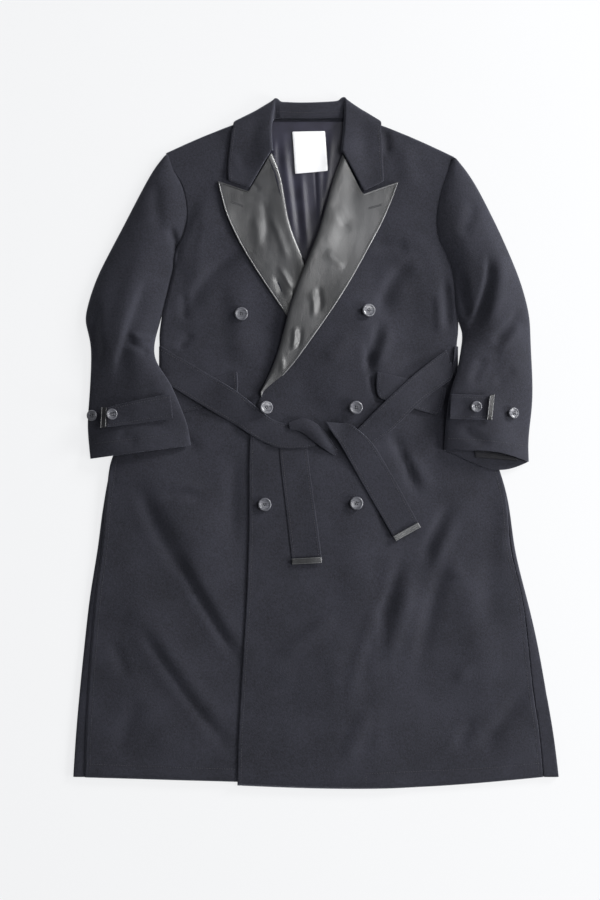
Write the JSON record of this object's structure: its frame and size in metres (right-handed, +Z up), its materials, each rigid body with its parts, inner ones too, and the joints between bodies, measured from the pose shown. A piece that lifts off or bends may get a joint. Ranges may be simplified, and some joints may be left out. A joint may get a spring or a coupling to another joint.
{
  "type": "chesterfield coat",
  "caption": "Long double-breasted overcoat with leather peak lapels and a tied belt, laid flat on its back.",
  "frame": {"origin": "on the floor, under the middle of the coat's length and width", "axes": "+X to the wearer's left, +Y from hem to collar, +Z up from the floor"},
  "size_m": [0.834, 1.1871, 0.0435],
  "materials": {
    "wool": "melton wool, dark navy grey, soft nap",
    "leather": "smooth black leather, soft gloss",
    "lining": "dark navy satin lining",
    "label": "bare white woven label",
    "horn": "polished dark grey horn"
  },
  "bodies": {
    "root": {"front_right": "wool", "lapel_facing_right": "leather", "front_left": "wool", "lapel_facing_left": "leather", "back": "wool", "flap_left": "wool", "flap_right": "wool", "lining_back": "lining", "label": "label", "collar": "wool", "belt_back": "wool", "belt_end_under": "wool", "belt_tip_under": "leather", "belt_right": "wool", "belt_left": "wool", "belt_knot": "wool", "belt_end_over": "wool", "belt_tip_over": "leather", "sleeve_under_right": "wool", "sleeve_top_right": "wool", "sleeve_under_left": "wool", "sleeve_top_left": "wool", "sleeve_lining_left": "lining", "cuff_tab_right": "wool", "cuff_tip_right": "leather", "cuff_tab_left": "wool", "cuff_tip_left": "leather", "button_1": "horn", "button_2": "horn", "button_3": "horn", "button_4": "horn", "button_5": "horn", "button_6": "horn", "cuff_button_1": "horn", "cuff_button_2": "horn", "cuff_button_3": "horn", "cuff_button_4": "horn"}
  },
  "joints": []
}
